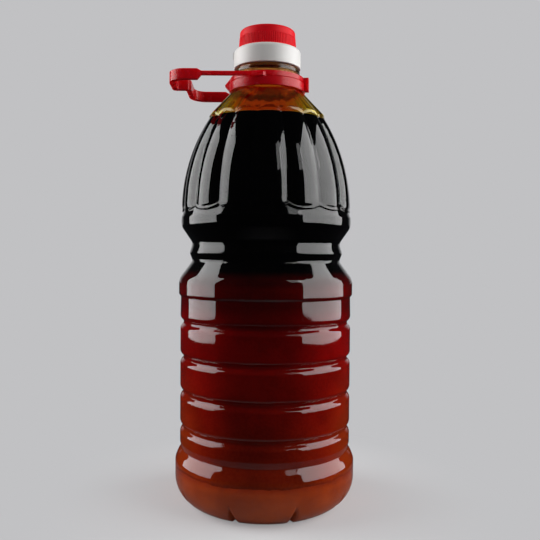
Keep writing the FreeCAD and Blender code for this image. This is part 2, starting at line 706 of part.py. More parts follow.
def collar():
    """The white collar: a skirt on the neck finish, a deck and a pouring spout."""
    body = new_body("collar")
    edge = d["collar_edge"]
    throat = d["spout_radius"] - d["collar_wall"]
    spout_top = d["collar_top"] + d["spout_height"]
    revolve(body, "collar_turned", [
        (d["collar_radius"], d["collar_bottom"], edge),
        (d["collar_radius"], d["collar_top"], d["collar_round"]),
        (d["spout_radius"], d["collar_top"], 0),
        (d["spout_radius"], spout_top, edge),
        (throat, spout_top, edge),
        (throat, d["deck_bottom"], 0),
        (d["collar_bore"], d["deck_bottom"], 0),
        (d["collar_bore"], d["collar_bottom"] + d["collar_bevel"], 0),
        (d["collar_bore"] + d["collar_bevel"], d["collar_bottom"], 0),
    ])
    half = d["tab_width"] / 2
    low = d["collar_top"] - d["tab_height"] - d["tab_rise"]
    place = turned_place(size_of(180), d["collar_radius"] - SEAT, low, 0)
    foot = (-half, half, 0, d["tab_height"])
    top = (-half / 2, half / 2, d["tab_rise"], d["tab_height"] - d["tab_rise"])
    wedge(body, "tab", "Additive", place, foot, top, d["tab_rise"] + SEAT)
    return body


def screw_cap():
    """The red cap: a ribbed cup with a plain band round its closed top."""
    body = new_body("screw_cap")
    low = d["collar_top"]
    high = low + d["cap_height"]
    step = low + d["rib_top"]
    at_step = d["cap_radius"] - d["cap_draft"] / d["cap_height"] * d["rib_top"]
    revolve(body, "cap_turned", [
        (d["cap_bore"], low, 0),
        (d["cap_radius"], low, d["cap_edge"]),
        (at_step, step, 0),
        (at_step - d["rib_step"], step + d["rib_step"] * 2, 0),
        (d["cap_radius"] - d["cap_draft"], high, d["cap_round"]),
        (0, high, 0),
        (0, high - d["cap_wall"], 0),
        (d["cap_bore"], high - d["cap_wall"], d["cap_inner_round"]),
    ])
    rib_groove(body, low + d["rib_bottom"], step)
    return body


def rib_groove(body, low, high):
    """Cut the grooves between the cap's ribs: one roof-shaped cut, repeated round."""
    draft = math.atan2(d["cap_draft"].value, d["cap_height"].value)
    inwards = Vector(-math.cos(draft), 0, -math.sin(draft))
    upwards = Vector(-math.sin(draft), 0, math.cos(draft))
    start = Vector(d["cap_radius"].value, 0, d["collar_top"].value)
    start += upwards * (low - d["collar_top"]).value - inwards * OVERLAP
    place = Placement(start, Rotation(upwards.cross(inwards) * -1, inwards, upwards, "ZYX"))
    half = d["cap_radius"] * math.pi / d["rib_count"] * d["rib_share"]
    foot = (-half, half, 0, high - low)
    top = (0, 0, 0, high - low)
    groove = wedge(body, "rib_groove", "Subtractive", place, foot, top, d["rib_depth"] + OVERLAP)
    pattern_round(body, "rib_grooves", groove, d["rib_count"])


# ------------------------------------------------------------------ carry handle
def flat_strip(body, name, plane, corners, height, lift=None):
    """Pad an outline, drawn as (x, y, rounding), evenly above and below a plane."""
    sketch = body.newObject("Sketcher::SketchObject", f"{name}_outline")
    sketch.AttachmentSupport = (plane, [""])
    sketch.MapMode = "FlatFace"
    draw_outline(sketch, corners)
    pad = body.newObject("PartDesign::Pad", name)
    pad.Profile = sketch
    pad.Midplane = True
    pad.setExpression("Length", height.text)
    if lift is not None:
        sketch.setExpression("AttachmentOffset.Base.z", lift.text)
    return pad


def handle_ring(body):
    """The ring that is snapped on the neck under its ledge, with its two bands."""
    outer = d["ring_radius"]
    upper = outer - d["upper_band_inset"]
    split = d["ring_split"]
    bevel = d["neck_radius"] + d["cone_slope"] * d["ring_drop"] + d["ring_bevel_gap"]
    bevel_top = d["neck_start"] + (d["ring_bevel_gap"] - d["fit"]) / d["cone_slope"]
    revolve(body, "ring", [
        (bevel, d["ring_bottom"], 0),
        (outer, d["ring_bottom"], d["ring_edge"]),
        (outer, split - d["split_width"] / 2, 0),
        (outer - d["split_depth"], split - d["split_floor"] / 2, 0),
        (outer - d["split_depth"], split + d["split_floor"] / 2, 0),
        (upper, split + d["split_width"] / 2, 0),
        (upper - d["upper_band_draft"], d["ring_top"], d["upper_band_draft"]),
        (d["ring_bore"], d["ring_top"], 0),
        (d["ring_bore"], bevel_top, d["neck_round"] - d["fit"]),
    ])


def ring_knobs(body):
    """The pointed nose over the loop and the block on the other side of the ring."""
    root_radius = d["ring_radius"] - SEAT
    half = (d["ring_top"] - d["ring_bottom"]) / 2 - d["ring_edge"]
    middle = d["ring_bottom"] + (d["ring_top"] - d["ring_bottom"]) / 2
    length = d["nose_length"]
    place = turned_place(d["nose_direction"], root_radius, middle, 90)
    foot = (-half, half, -length / 2, length / 2)
    top = (-OVERLAP, OVERLAP, -length / 4, length / 4)
    wedge(body, "nose", "Additive", place, foot, top, d["nose_rise"] + SEAT)
    place = turned_place(d["block_direction"], root_radius, middle, 0)
    side = d["block_width"] / 2
    foot = (-side, side, -half, half)
    wedge(body, "block", "Additive", place, foot, foot, d["block_rise"] + SEAT)


def loop_place(plane, reach, across):
    """A place on the loop's plane, whose own Y points along the loop's X axis."""
    spin = Rotation(Vector(0, 0, 1), -90)
    return plane.Placement * Placement(Vector(reach.value, across.value, 0), spin)


def carry_handle():
    """The red handle: its ring, two thin arms, and the loop with its two grips."""
    body = new_body("carry_handle")
    handle_ring(body)
    ring_knobs(body)
    plane = body.newObject("PartDesign::Plane", "loop_plane")
    plane.AttachmentSupport = (origin_part(body, "XY_Plane"), [""])
    plane.MapMode = "FlatFace"
    tilt = Rotation(Vector(-1, 0, 0), d["loop_tilt"].value)
    plane.AttachmentOffset = Placement(Vector(0, 0, d["loop_level"].value), tilt)
    plane.setExpression("AttachmentOffset.Base.z", d["loop_level"].text)
    plane.setExpression("AttachmentOffset.Rotation.Angle", f"{d['loop_tilt'].text} * 1deg")
    doc.recompute()

    arm = d["arm_thickness"] / 2
    grip = d["grip_thickness"]
    half_grip = (-grip / 2, grip / 2, -d["grip_height"] / 2, d["grip_height"] / 2)
    slim = d["arm_lift"] - d["arm_height"] / 2, d["arm_lift"] + d["arm_height"] / 2
    half_arm = (-arm, arm, slim[0], slim[1])
    middle_line = d["ring_radius"]
    for name, side, grip_start in (("front", -1, d["front_grip_start"]),
                                   ("rear", 1, d["rear_grip_start"])):
        middle = middle_line * side
        arm_end = -grip_start - d["arm_root"]
        outer = middle + arm * side
        inner = middle - arm * side
        flat_strip(body, f"{name}_arm", plane, [
            (0, inner, 0),
            (-d["arm_slant"], outer, 0),
            (arm_end, outer, 0),
            (arm_end, inner, 0),
        ], d["arm_height"], d["arm_lift"])
        place = loop_place(plane, -grip_start, middle)
        wedge(body, f"{name}_taper", "Additive", place, half_grip, half_arm, d["grip_taper"])
    outer_front = -middle_line - grip / 2
    outer_rear = middle_line + grip / 2
    inner_front = outer_front + grip
    inner_rear = outer_rear - grip
    reach = -d["loop_reach"]
    back_reach = -d["finger_reach"]
    corner = d["loop_round"]
    step = d["loop_step_round"]
    edge = d["loop_edge"]
    flat_strip(body, "loop", plane, [
        (-d["front_grip_start"], outer_front, 0),
        (-d["front_grip_start"], inner_front, 0),
        (reach + grip, inner_front, corner - grip),
        (reach + grip, -grip, edge),
        (back_reach + grip, -grip, step),
        (back_reach + grip, inner_rear, corner - grip),
        (-d["rear_grip_start"], inner_rear, 0),
        (-d["rear_grip_start"], outer_rear, 0),
        (back_reach, outer_rear, corner),
        (back_reach, 0, edge),
        (reach, 0, step),
        (reach, outer_front, corner),
    ], d["grip_height"])
    return body


# ------------------------------------------------------------------ build and write
def check(pieces):
    """Stop with a plain message where a feature or a shape of the document failed."""
    for item in doc.Objects:
        if "Invalid" in item.State or "Error" in item.State:
            raise RuntimeError(f"{item.Name} failed: {item.State}")
    for piece in pieces:
        if piece.Shape.isNull() or not piece.Shape.isValid():
            raise RuntimeError(f"{piece.Label} has no valid shape")
        solids = piece.Shape.Solids
        volume = piece.Shape.Volume / 1000
        print(f"{piece.Label}: {len(solids)} solid, {volume:.1f} cm3, {len(piece.Shape.Faces)} faces")


pieces = contents() + [collar(), screw_cap(), carry_handle()]
doc.recompute()
check(pieces)
os.makedirs("parts", exist_ok=True)
for piece in pieces:
    piece.Shape.exportStep(f"parts/{piece.Label}.step")
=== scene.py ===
# %% [markdown]
# A two-litre clear plastic bottle of palm oil.
# The bottle is a thin blown shell, and nearly everything you see through it is oil: clear and
# almost black at the top, cloudy and dark red in the barrel, and set hard to an orange-brown
# fat at the bottom. A white collar, a red screw cap and a red carry handle close it.
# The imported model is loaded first. It fixes every size, and each piece made below is laid
# into it in metres, without any fitting.

# %% Load the frame and keep its box
import math
import bmesh
import bpy
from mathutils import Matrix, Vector, noise


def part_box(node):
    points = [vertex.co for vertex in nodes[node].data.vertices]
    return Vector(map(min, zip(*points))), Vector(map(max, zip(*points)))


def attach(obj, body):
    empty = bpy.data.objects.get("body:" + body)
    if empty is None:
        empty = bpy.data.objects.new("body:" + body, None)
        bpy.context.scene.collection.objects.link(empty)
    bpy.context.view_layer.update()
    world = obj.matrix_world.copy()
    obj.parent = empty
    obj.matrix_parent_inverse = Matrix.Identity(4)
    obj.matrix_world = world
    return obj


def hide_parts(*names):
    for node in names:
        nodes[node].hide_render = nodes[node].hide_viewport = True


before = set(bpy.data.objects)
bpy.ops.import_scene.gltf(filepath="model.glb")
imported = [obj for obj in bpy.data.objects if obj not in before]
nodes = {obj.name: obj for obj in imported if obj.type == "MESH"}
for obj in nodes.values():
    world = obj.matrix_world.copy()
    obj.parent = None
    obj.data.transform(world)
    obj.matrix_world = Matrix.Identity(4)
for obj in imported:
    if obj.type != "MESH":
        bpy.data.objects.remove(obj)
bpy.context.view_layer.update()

MM = 0.001

# %% [markdown]
# The camera stands a little above the middle of the bottle and close to it, which is why the
# rings at the top curve the other way from the rings at the bottom. A normal lens from close
# by gives that bend. A long lens from far away would flatten it.

# %% The camera
LENS = 43.93
CAMERA_PLACE = (0.0026, -0.4237, 0.1579)
CAMERA_DIP = math.radians(1.57)
CAMERA_ROLL = math.radians(-0.45)

camera_data = bpy.data.cameras.new("camera")
camera_data.lens = LENS
camera_data.clip_start = 0.01
camera = bpy.data.objects.new("camera", camera_data)
camera.location = CAMERA_PLACE
camera.rotation_euler = (math.radians(90) - CAMERA_DIP, CAMERA_ROLL, 0)
bpy.context.scene.collection.objects.link(camera)
bpy.context.scene.camera = camera
bpy.context.scene.view_settings.view_transform = "Standard"
print("camera:", tuple(camera.location), "lens", LENS)

# %% [markdown]
# Glossy things are lit by what they mirror. A studio hangs two large soft boxes beside such a
# bottle and leaves the front dark, so the highlights are two clean columns and the dark oil
# stays dark. An area lamp is a soft box: its shape is what the plastic mirrors. A small third
# box, high on the right, gives the dome its extra streak. Two weaker lamps further back only
# lift the shaded sides. The plastic doesn't mirror them, as they are hidden from glossy rays.

# %% The soft boxes beside the bottle
BOX_DISTANCE = 0.8


def soft_box(name, direction, width, low, high, radiance):
    """A rectangular area lamp that faces the bottle's axis.

    direction is in degrees from the front, positive to the right. low and high are the
    heights of its edges in metres.
    """
    angle = math.radians(direction)
    spot = Vector((math.sin(angle), -math.cos(angle), 0)) * BOX_DISTANCE
    spot.z = (low + high) / 2
    lamp_data = bpy.data.lights.new(name, "AREA")
    lamp_data.shape = "RECTANGLE"
    lamp_data.size = width
    lamp_data.size_y = high - low
    lamp_data.energy = radiance * math.pi * width * (high - low)
    lamp = bpy.data.objects.new(name, lamp_data)
    lamp.location = spot
    level_middle = Vector((0, 0, spot.z))
    lamp.rotation_euler = (level_middle - spot).to_track_quat("-Z", "Y").to_euler()
    bpy.context.scene.collection.objects.link(lamp)
    return lamp


soft_box("left_soft_box", -93, 0.81, 0.01, 1.02, 3.1)
soft_box("right_soft_box", 83, 1.12, 0.01, 1.02, 3.0)
soft_box("right_high_box", 42, 0.26, 0.60, 1.00, 1.5)
left_fill = soft_box("left_fill", -104, 0.7, 0.05, 0.9, 1.2)
right_fill = soft_box("right_fill", 104, 0.7, 0.05, 0.9, 0.6)
left_fill.visible_glossy = False
right_fill.visible_glossy = False
print("soft boxes:", [lamp.name for lamp in bpy.data.lights])

# %% [markdown]
# Every material below is a small tree of nodes. Five helpers keep the trees short to write.
# The first adds a node and the second sets plain values on its sockets. The other three add a
# node for sums, for mixing colours or for spreading a value, wire it up and give its output.

# %% Helpers for shader nodes
def add_node(tree, kind, **settings):
    """A new node, with its properties set by name."""
    node = tree.nodes.new(kind)
    for key, value in settings.items():
        setattr(node, key, value)
    return node


def set_sockets(node, **values):
    """Set plain socket values. An underscore in a name stands for a space."""
    for key, value in values.items():
        node.inputs[key.replace("_", " ")].default_value = value
    return node


def math_node(tree, operation, first, second=None):
    """A Math node whose inputs are sockets or plain numbers. Returns its output."""
    node = add_node(tree, "ShaderNodeMath", operation=operation)
    for socket, value in zip(node.inputs, (first, second)):
        if value is None:
            continue
        if isinstance(value, (int, float)):
            socket.default_value = value
        else:
            tree.links.new(value, socket)
    return node.outputs[0]


def mix_colours(tree, share, first, second, blend="MIX"):
    """A Mix node for colours. Each input is a socket or a plain value. Returns its output.

    A Mix node has sockets for numbers, vectors and colours. 6 and 7 are its two colours.
    """
    node = add_node(tree, "ShaderNodeMix", data_type="RGBA", blend_type=blend)
    for index, value in ((0, share), (6, first), (7, second)):
        if isinstance(value, bpy.types.NodeSocket):
            tree.links.new(value, node.inputs[index])
        else:
            node.inputs[index].default_value = value
    return node.outputs[2]


def map_range(tree, value, low, high, new_low=0.0, new_high=1.0, smooth=True):
    """Spread a value between two limits over a new range, with soft ends."""
    node = add_node(tree, "ShaderNodeMapRange")
    node.interpolation_type = "SMOOTHSTEP" if smooth else "LINEAR"
    tree.links.new(value, node.inputs["Value"])
    for socket, number in zip(node.inputs[1:5], (low, high, new_low, new_high)):
        socket.default_value = number
    return node.outputs["Result"]


print("helpers: add_node, set_sockets, math_node, mix_colours, map_range")

# %% [markdown]
# The backdrop is a flat pale grey. The world shader gives it to the camera and to what shows
# through clear plastic. Mirrored rays see it only behind the bottle, as on a real backdrop of
# limited width, and everything else in the room is dim. Light on matt surfaces is dim too, so
# the lamps do the lighting.

# %% The world
BACKDROP_GREY = (0.533, 0.533, 0.546, 1)
ROOM_GREY = (0.010, 0.011, 0.012, 1)
AMBIENT_GREY = (0.06, 0.06, 0.06, 1)
BACKDROP_EDGE = 0.80
BACKDROP_FULL = 0.97

world = bpy.data.worlds.new("studio")
world.use_nodes = True
bpy.context.scene.world = world
sky = world.node_tree
background = sky.nodes["Background"]
rays = add_node(sky, "ShaderNodeLightPath")
look = add_node(sky, "ShaderNodeTexCoord")
look_parts = add_node(sky, "ShaderNodeSeparateXYZ")
sky.links.new(look.outputs["Generated"], look_parts.inputs[0])
behind = map_range(sky, look_parts.outputs["Y"], BACKDROP_EDGE, BACKDROP_FULL)
mirrored = mix_colours(sky, behind, ROOM_GREY, BACKDROP_GREY)
seen_through = math_node(sky, "MAXIMUM", rays.outputs["Is Camera Ray"],
                         rays.outputs["Is Transmission Ray"])
glossy_or_ambient = mix_colours(sky, rays.outputs["Is Glossy Ray"], AMBIENT_GREY, mirrored)
shown = mix_colours(sky, seen_through, glossy_or_ambient, BACKDROP_GREY)
sky.links.new(shown, background.inputs["Color"])
background.inputs["Strength"].default_value = 1.0
print("world nodes:", len(sky.nodes))

# %% [markdown]
# The floor is a plain pale sheet. Near the bottle it is mostly a matt surface that takes the
# lamps' light and the soft shadow under the base. Further out it fades into the backdrop's
# grey, so that no horizon shows. In the bottle's gloss it is darker than it looks, or the red
# barrel would be veiled in pink.

# %% The floor
FLOOR_HALF = 6.0
FLOOR_TONE = (0.85, 0.85, 0.86, 1)
MIRRORED_FLOOR = (0.45, 0.45, 0.455, 1)
FADE_START = 0.05
FADE_END = 0.16
NEAR_SHARE = 0.4


def link_object(name, data):
    """A new object in the scene that shows this mesh."""
    made = bpy.data.objects.new(name, data)
    bpy.context.scene.collection.objects.link(made)
    return made


floor_mesh = bpy.data.meshes.new("floor")
signs = ((-1, -1), (1, -1), (1, 1), (-1, 1))
corners = [(x * FLOOR_HALF, y * FLOOR_HALF, 0) for x, y in signs]
floor_mesh.from_pydata(corners, [], [(0, 1, 2, 3)])
floor = link_object("floor", floor_mesh)
print("floor:", FLOOR_HALF * 2, "m across")

# %% The floor's material
floor_material = bpy.data.materials.new("pale_floor")
floor_material.use_nodes = True
tree = floor_material.node_tree
tree.nodes.clear()
where = add_node(tree, "ShaderNodeTexCoord")
reach = add_node(tree, "ShaderNodeVectorMath", operation="LENGTH")
tree.links.new(where.outputs["Object"], reach.inputs[0])
fade = map_range(tree, reach.outputs["Value"], FADE_START, FADE_END, NEAR_SHARE, 1.0)
matt = add_node(tree, "ShaderNodeBsdfDiffuse")
rays = add_node(tree, "ShaderNodeLightPath")
near_floor = mix_colours(tree, rays.outputs["Is Glossy Ray"], FLOOR_TONE, MIRRORED_FLOOR)
tree.links.new(near_floor, matt.inputs["Color"])
seen = math_node(tree, "MAXIMUM", rays.outputs["Is Camera Ray"],
                 rays.outputs["Is Transmission Ray"])
glow = add_node(tree, "ShaderNodeEmission")
far_floor = mix_colours(tree, seen, ROOM_GREY, BACKDROP_GREY)
tree.links.new(far_floor, glow.inputs["Color"])
blend_floor = add_node(tree, "ShaderNodeMixShader")
tree.links.new(fade, blend_floor.inputs[0])
tree.links.new(matt.outputs[0], blend_floor.inputs[1])
tree.links.new(glow.outputs[0], blend_floor.inputs[2])
floor_output = add_node(tree, "ShaderNodeOutputMaterial")
tree.links.new(blend_floor.outputs[0], floor_output.inputs["Surface"])
floor_mesh.materials.append(floor_material)
print("floor fades from", FADE_START, "to", FADE_END, "m from the axis")

# %% [markdown]
# A blown bottle is turned from one outline. The outline is a list of corners, each with its
# radius, its height and its rounding, and the same list at an inset gives the inside of the
# wall. A lathe in mesh code keeps every ring of points where the outline bends, so that the
# highlights on the grooves stay sharp. A Screw modifier could turn it too, but the lobes and
# notches need each point to know its direction.

# %% The bottle's sizes, in millimetres
WALL = 0.8
PUSH_UP = 9           # height of the underside's middle
FOOT = 46.0           # radius of the ring it stands on
BASE = 57.1           # radii up the bottle
BARREL = 54.2
SHOULDER = 55.2
WAIST = 46.8
WAIST_BEAD = 1.9      # how far the bead stands out of the waist
BELT = 53.9
NECK = 20.3
LEDGE = 21.9
FINISH = 18.0
BORE = 16.4
GROOVE_FIRST = 48.0
GROOVE_PITCH = 21.9
GROOVES = [GROOVE_FIRST + GROOVE_PITCH * i for i in range(4)]
GROOVE_DEPTH = 2
GROOVE_BED = 0.9      # half the width of a groove, at its bottom and at its top
GROOVE_LIP = 3
TOP_BAND_TAPER = 0.25
CONE_TOP = 261.3      # heights at the neck
LEDGE_LOW = 268.1
FINISH_LOW = 273.3
MOUTH = 283.6
print("barrel:", BARREL * 2, "mm across, grooves at", GROOVES)

# %% The dome's curve
DOME_START = 184.0
DOME_END = 243.6
DOME_RADIUS = 53.8
DOME_CURVE = 107.6    # radius of the arc up the dome
ARC_PAST_END = 12     # the arc is followed this far above the dome, for the arches
CURL_START = 187.5    # below this the lobes curl inwards and end
LOBE_CURL = 8.0
LOBE_BED = 2.7        # depth of the plain dome under the lobes' crests
BED_LOW = 187.2
BED_HIGH = 239.8
BED_STEPS = 12


def crest(height):
    """Radius over the crests of the dome's lobes, in millimetres."""
    rise = max(0, min(height, DOME_END + ARC_PAST_END) - DOME_START)
    curl = max(0, CURL_START - height) ** 2 / (LOBE_CURL * 2)
    return DOME_RADIUS - DOME_CURVE + math.sqrt(DOME_CURVE ** 2 - rise ** 2) - curl


print("crest of the dome at half height:", round(crest((DOME_START + DOME_END) / 2), 2), "mm")

# %% Corners of the outline
def body_corners(inset):
    """Corners from the middle of the underside up to the cone: radius, height, rounding."""
    side = BARREL - inset
    found = [
        # the push-up, and the ring it stands on
        (0, PUSH_UP + inset, 0), (16, PUSH_UP + inset, 6), (38, 2 + inset, 3), (42, inset, 2),
        (FOOT - inset * 0.25, inset, 0.8),
        # the base's large round, its upright side, and the slant up to the barrel
        (BASE - inset, 5.23 + inset * 0.5, 18.2 - inset),
        (BASE - inset, 27.2, 6), (55.3 - inset, 31.4, 4), (53.2 - inset, 34, 0.9),
        (side, 38, 3.9),
    ]
    for level in GROOVES:
        found += [
            (side, level - GROOVE_LIP, 3.2), (side - GROOVE_DEPTH, level - GROOVE_BED, 0.7),
            (side - GROOVE_DEPTH, level + GROOVE_BED, 0.7), (side, level + GROOVE_LIP, 3.2),
        ]
    found += [
        # the step out to the shoulder ring
        (side - TOP_BAND_TAPER, 129.6, 0.5), (SHOULDER - inset, 131.2, 1.4),
        (SHOULDER - inset, 140.9, 9),
        # the waist with its bead, and the belt under the lobes
        (WAIST - inset, 152.2, 2.4), (WAIST + WAIST_BEAD - inset, 157.2, 2.4),
        (WAIST - inset, 163.4, 4.5), (BELT - inset, 173.6, 7), (BELT - inset, 179.2, 1.4),
    ]
    for i in range(BED_STEPS + 1):
        height = BED_LOW + (BED_HIGH - BED_LOW) * i / BED_STEPS
        found.append((crest(height) - LOBE_BED - inset, height, 0))
    return found


def neck_corners():
    """The cone, the neck with its ledge, and the neck finish up to the mouth."""
    return [
        (crest(DOME_END), DOME_END, 2), (NECK, CONE_TOP, 3),
        # the ledge, and the two steps above it that the collar covers
        (NECK, LEDGE_LOW, 0.3), (LEDGE, LEDGE_LOW, 0.3), (20.7, 270.4, 0.3),
        (20.7, 272.0, 0.3), (19.7, 272.4, 0.3), (19.7, FINISH_LOW, 0.3),
        (FINISH, FINISH_LOW, 0.3), (FINISH, MOUTH, 0.4), (BORE, MOUTH, 0.4),
    ]


def neck_inside_corners():
    """The inside of the neck and the cone, from the mouth down."""
    drop = WALL * 0.4
    return [
        (BORE, 272.0, 0.9), (NECK - WALL, 269.3, 0.9), (NECK - WALL, CONE_TOP - drop, 3),
        (crest(DOME_END) - WALL, DOME_END - drop, 2),
    ]


print("corners:", len(body_corners(0)), "up the body and", len(neck_corners()), "at the neck")

# %% [markdown]
# A sharp corner in the outline would be a sharp edge round the bottle, and blown plastic has
# none. So each corner is replaced by an arc of its own radius. Where the lobes and notches
# bend the surface round the bottle too, long runs are also divided, so that there are enough
# points to carry that bend.

# %% The outline as a line of points
def rounded(corner_list, bend=math.radians(9)):
    """Turn corners with roundings into a line of points that bends a little at each."""
    line = []
    last = len(corner_list) - 1
    for i, (across, up, rounding) in enumerate(corner_list):
        spot = Vector((across, up))
        if rounding == 0 or i in (0, last):
            line.append(spot)
            continue
        back = (Vector(corner_list[i - 1][:2]) - spot).normalized()
        ahead = (Vector(corner_list[i + 1][:2]) - spot).normalized()
        half = back.angle(ahead) / 2
        turn = math.pi - 2 * half
        inwards = (back + ahead).normalized()
        centre = spot + inwards * (rounding / math.sin(half))
        start = spot + back * (rounding / math.tan(half)) - centre
        side = 1 if back.x * ahead.y - back.y * ahead.x < 0 else -1
        count = max(2, math.ceil(turn / bend))
        for k in range(count + 1):
            angle = side * turn * k / count
            line.append(centre + Vector((
                start.x * math.cos(angle) - start.y * math.sin(angle),
                start.x * math.sin(angle) + start.y * math.cos(angle))))
    return line


def divided(line, longest, low, high):
    """Add points where runs are longer than allowed between two heights."""
    found = [line[0]]
    for spot in line[1:]:
        start = found[-1]
        inside = low < (start.y + spot.y) / 2 < high
        count = max(1, math.ceil((spot - start).length / longest)) if inside else 1
        for k in range(1, count + 1):
            found.append(start.lerp(spot, k / count))
    return found


MOUTH_REACH = 0.2     # points this close to the mouth's height are the turn to the inside

shell_corners = body_corners(0) + neck_corners() + neck_inside_corners()
shell_corners += list(reversed(body_corners(WALL)))
shell_line = rounded(shell_corners)
turn_back = max(i for i, spot in enumerate(shell_line) if spot.y > MOUTH - MOUTH_REACH)
outside_line = shell_line[:turn_back]
inside_line = shell_line[turn_back:]
print("outline points:", len(outside_line), "outside,", len(inside_line), "inside")

# %% [markdown]
# Sixteen lobes lie round the dome like the ribs of a pumpkin. In a level section each lobe is
# an arc, so the radius in any direction has a plain formula. Where a lobe and the bed under it
# meet, the larger radius wins, with a narrow blend between them, as blown plastic can't make
# a knife edge. That also gives the scallops at the belt and the arches at the cone. A low bead
# follows that seam and catches a thin line of light. Nine notches between the feet are cut the
# same way: there the larger height wins.

# %% Sizes of the lobes and the notches
LOBES = 16
LOBE_FIRST = -76.0    # direction of a valley, in degrees
LOBE_ROUND = 0.333    # radius of a lobe's arc, as a share of the dome's radius there
LOBE_BLEND = 0.3
LOBES_LOW = 172       # nothing is moved below, above or nearer to the axis than this
LOBES_HIGH = 256
LOBES_INNER = 20
LOBE_RUN_OUT = 0.12   # how fast the lobes sink into the cone
SEAM_BEAD = 0.85
SEAM_WIDTH = 0.6
BEAD_LOW = 178
BEAD_HIGH = 250
NOTCHES = 9
NOTCH_FIRST = -70.5   # direction of a notch, in degrees
NOTCH_TOP = 12.0      # height of a notch's ridge at the side of the base, and at the foot
NOTCH_FOOT = 4.0
NOTCH_SPREAD = math.tan(math.radians(24))
NOTCH_SIDE = BASE - 1.8
NOTCH_INNER = 22      # nothing is moved nearer to the axis, or further from it, than this
NOTCH_OUTER = NOTCH_SIDE + 2
NOTCH_BLEND = 0.5
NOTCH_INSIDE = 1.4    # how much higher its ridge is inside, in wall thicknesses
NOTCH_NEAR = 3        # the blend is only worked out this close to a notch
print(LOBES, "lobes and", NOTCHES, "notches")

# %% Lobes and notches as functions of direction
def from_nearest(direction, first, count):
    """Degrees from a direction to the nearest of evenly spaced ones."""
    pitch = 360 / count
    return (direction - first + pitch / 2) % pitch - pitch / 2


def larger(one, other, blend):
    """The larger of two numbers, with a soft change from one to the other."""
    gap = one - other
    return (one + other + math.sqrt(gap * gap + blend * blend)) / 2


def lobe_radius(direction, height, inset):
    """Radius of the lobes' own surface in one direction, at one height."""
    radius = crest(height) - inset
    if height > DOME_END:
        radius -= LOBE_RUN_OUT * (height - DOME_END) ** 2
    middle = LOBE_FIRST + 180 / LOBES
    turn = math.radians(from_nearest(direction, middle, LOBES))
    arc = radius * LOBE_ROUND
    centre = radius - arc
    return centre * math.cos(turn) + math.sqrt(arc ** 2 - (centre * math.sin(turn)) ** 2)


def notch_height(direction, radius, inset):
    """Height up to which a notch lifts the underside at that place."""
    turn = math.radians(from_nearest(direction, NOTCH_FIRST, NOTCHES))
    ridge = NOTCH_FOOT + (NOTCH_TOP - NOTCH_FOOT) * (radius - FOOT) / (NOTCH_SIDE - FOOT)
    return ridge + inset * NOTCH_INSIDE - abs(radius * math.sin(turn)) / NOTCH_SPREAD


def surface_point(spot, direction, inset):
    """The outline's point, moved to the bottle's real surface in one direction."""
    radius, height = spot
    if LOBES_LOW < height < LOBES_HIGH and radius > LOBES_INNER:
        over = lobe_radius(direction, height, inset) - radius
        bead = 0
        if BEAD_LOW < height < BEAD_HIGH:
            bead = SEAM_BEAD * math.exp(-(over / SEAM_WIDTH) ** 2)
        radius = larger(radius, radius + over, LOBE_BLEND) + bead
    if height < NOTCH_TOP and NOTCH_INNER < radius < NOTCH_OUTER:
        lift = notch_height(direction, radius, inset)
        if lift > height - NOTCH_NEAR:
            height = larger(height, lift, NOTCH_BLEND)
    angle = math.radians(direction)
    return Vector((radius * math.cos(angle), radius * math.sin(angle), height)) * MM


print("lobe at its crest and valley:",
      round(lobe_radius(LOBE_FIRST + 180 / LOBES, 200, 0), 2),
      round(lobe_radius(LOBE_FIRST, 200, 0), 2), "mm")

# %% [markdown]
# The lathe puts a ring of points at each point of the outline and joins the rings with
# four-sided faces. The rings' points stand on the middles of the notches at the base and on
# the valleys of the lobes at the dome, so that both stay crisp. The turn between the two is
# little more than a degree and spreads over the barrel and the waist.

# %% A lathe for the bottle and its contents
COLUMNS = 432
COLUMNS_OFF = 5       # columns between the first notch and the first valley
TURN_LOW = 40         # the turn starts at this height and spreads over this many millimetres
TURN_SPAN = 120
ON_AXIS = 0.01        # a point this near to the axis is a single point, not a ring


def first_direction(height):
    """Direction of a ring's first point, in degrees."""
    share = min(1, max(0, (height - TURN_LOW) / TURN_SPAN))
    whole_turn = LOBE_FIRST - NOTCH_FIRST + COLUMNS_OFF * 360 / COLUMNS
    return NOTCH_FIRST + whole_turn * share


def turned_mesh(name, line, insets, wave=None):
    """Turn a line that starts and ends on the axis. wave moves a point, if it is given."""
    points = []
    faces = []
    rings = []
    for spot, inset in zip(line, insets):
        if spot.x < ON_AXIS:
            rings.append([len(points)])
            points.append(Vector((0, 0, spot.y * MM)))
            continue
        rings.append(list(range(len(points), len(points) + COLUMNS)))
        start = first_direction(spot.y)
        for i in range(COLUMNS):
            point = surface_point(spot, start + 360 / COLUMNS * i, inset)
            points.append(wave(point) if wave else point)
    for low, high in zip(rings, rings[1:]):
        for i in range(COLUMNS):
            j = (i + 1) % COLUMNS
            if len(low) == 1:
                faces.append((low[0], high[j], high[i]))
            elif len(high) == 1:
                faces.append((low[i], low[j], high[0]))
            else:
                faces.append((low[i], low[j], high[j], high[i]))
    mesh = bpy.data.meshes.new(name)
    mesh.from_pydata(points, [], faces)
    form = bmesh.new()
    form.from_mesh(mesh)
    bmesh.ops.recalc_face_normals(form, faces=form.faces)
    form.to_mesh(mesh)
    form.free()
    mesh.shade_smooth()
    return mesh


def place_piece(name, mesh, node):
    """Put a mesh in the scene in place of a CAD node."""
    piece = link_object(name, mesh)
    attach(piece, "root")
    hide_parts(node)
    print(name, "has", len(mesh.polygons), "faces")


print("lathe:", COLUMNS, "points in each ring")

# %% [markdown]
# The shell is one mesh that runs up the outside, over the mouth and down the inside, so light
# is bent at both faces of the wall, as in the real thing. The rings are closest at the
# scallops, the arches and the notches, where the surface bends both ways.

